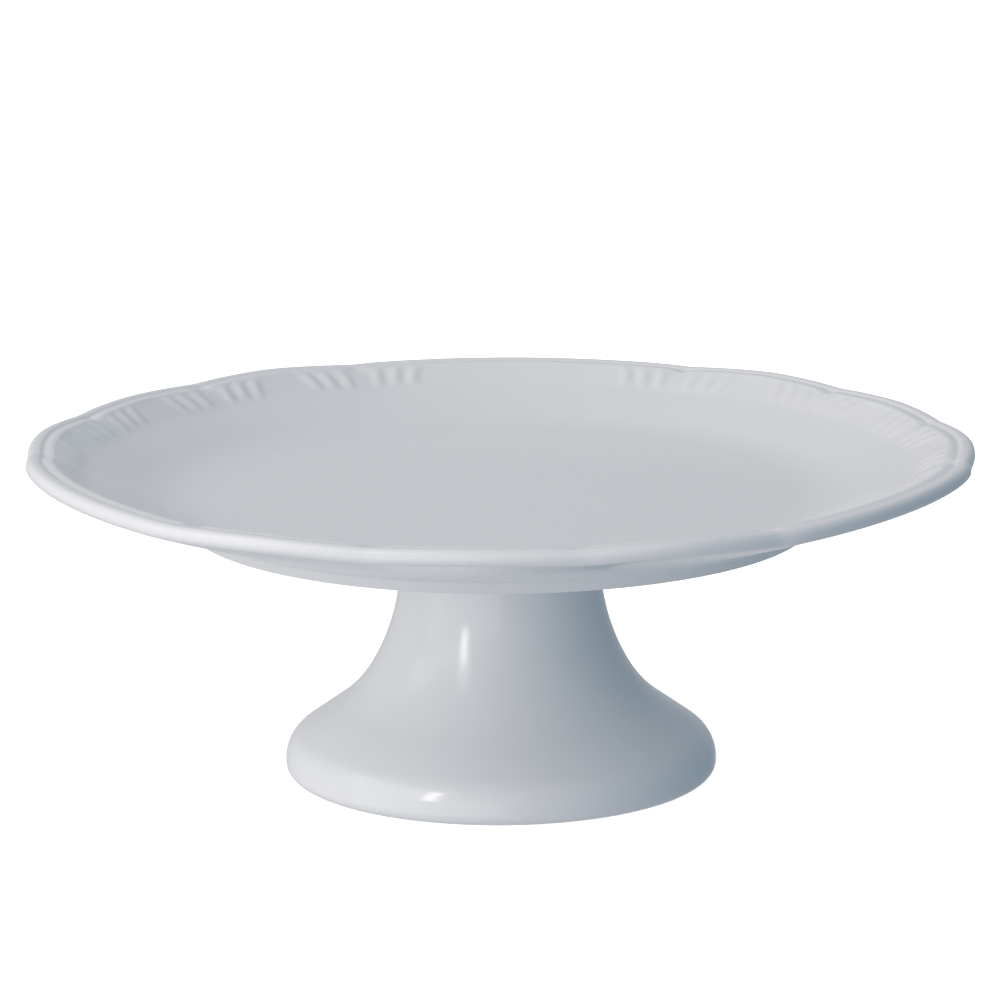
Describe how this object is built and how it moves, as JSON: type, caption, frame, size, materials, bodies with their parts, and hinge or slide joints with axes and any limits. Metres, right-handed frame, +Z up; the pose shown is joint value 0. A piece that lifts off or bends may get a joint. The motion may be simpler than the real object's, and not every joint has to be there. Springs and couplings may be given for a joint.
{
  "type": "cake stand",
  "caption": "Footed cake stand: a shallow dished porcelain plate with a lobed, beaded rim on a hollow bell-shaped pedestal.",
  "frame": {"origin": "centre of the pedestal's standing ring, at the height of the table", "axes": "+Z up along the stand's axis; +Y through the middle of a wide lobe of the rim, at the back; +X to the right"},
  "size_m": [0.315, 0.315, 0.1116],
  "materials": {
    "glazed_porcelain": "clear gloss glaze over white porcelain",
    "fired_slip": "matt, unglazed"
  },
  "bodies": {
    "root": {"plate": "glazed_porcelain", "bond_ring": "fired_slip", "pedestal": "glazed_porcelain"}
  },
  "joints": []
}
